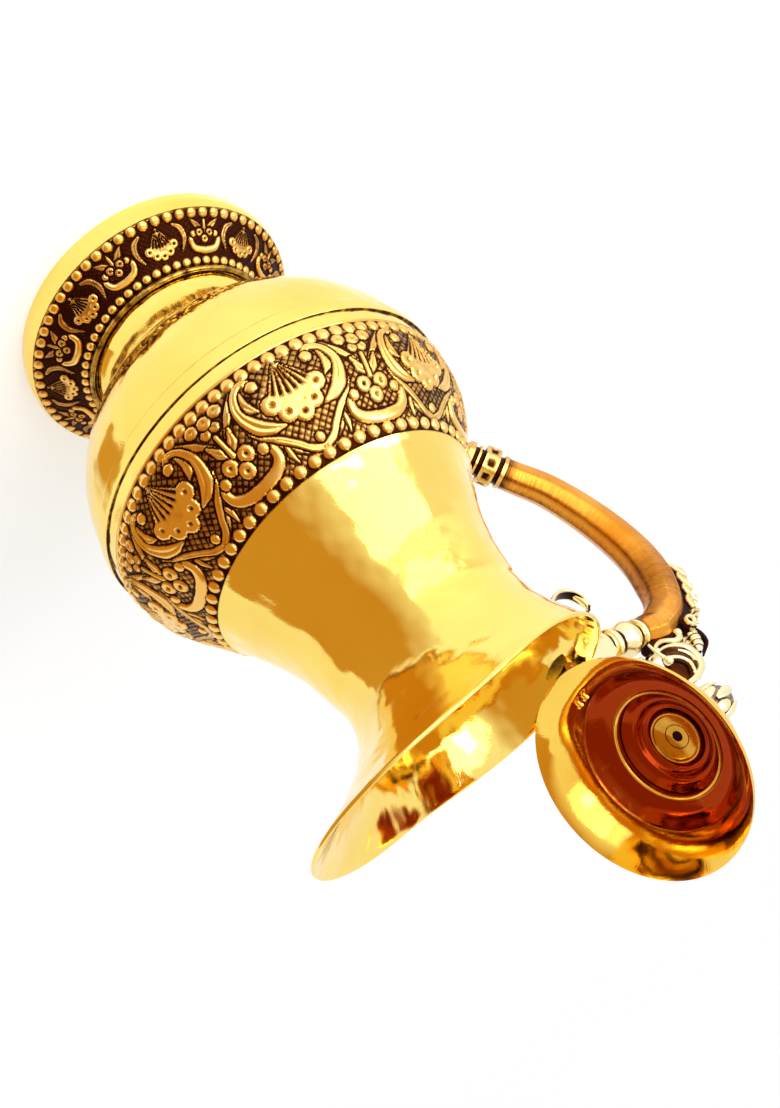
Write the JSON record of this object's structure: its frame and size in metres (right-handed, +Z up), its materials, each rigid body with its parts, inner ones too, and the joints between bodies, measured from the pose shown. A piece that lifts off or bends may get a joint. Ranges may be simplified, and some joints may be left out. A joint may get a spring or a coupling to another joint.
{
  "type": "lidded jug",
  "caption": "Footed brass jug with an embossed belly, flared neck, swept pouring lip, cast scroll handle and a hinged bell-shaped lid with a finial.",
  "frame": {"origin": "centre of the jug's bounding box at the table it stands on", "axes": "+Z up along the jug's axis, +X towards the pouring lip, the handle on -X, +Y across"},
  "size_m": [0.2141, 0.142, 0.293],
  "materials": {
    "polished_brass": "mirror polished sheet brass",
    "embossed_brass": "polished sheet brass, dark patina in the embossing",
    "cast_brass": "filed cast brass, black-brown patina in the recesses"
  },
  "bodies": {
    "jug": {"foot_flare": "embossed_brass", "stem_ring": "polished_brass", "stem_collar": "polished_brass", "lower_bowl": "polished_brass", "seam_band": "polished_brass", "upper_body": "embossed_brass", "lower_ferrule": "cast_brass", "upper_arm": "cast_brass", "handle_grip": "cast_brass", "handle_leaf": "cast_brass", "handle_volute": "cast_brass", "neck_spur": "cast_brass", "hinge_bracket": "cast_brass", "hinge_pin": "polished_brass"},
    "lid": {"lid_shell": "polished_brass", "lid_hinge_leaf": "cast_brass", "lid_rivet_left": "polished_brass", "lid_rivet_right": "polished_brass", "finial_collar": "polished_brass", "lid_finial": "cast_brass", "finial_washer": "polished_brass", "finial_nut": "polished_brass"}
  },
  "joints": [
    {"name": "lid_hinge", "type": "hinge", "parent": "jug", "child": "lid", "pos_m": [-0.01364, 0, 0.2158], "axis": [0, 1, 0], "range_deg": [0, 99.5]}
  ]
}
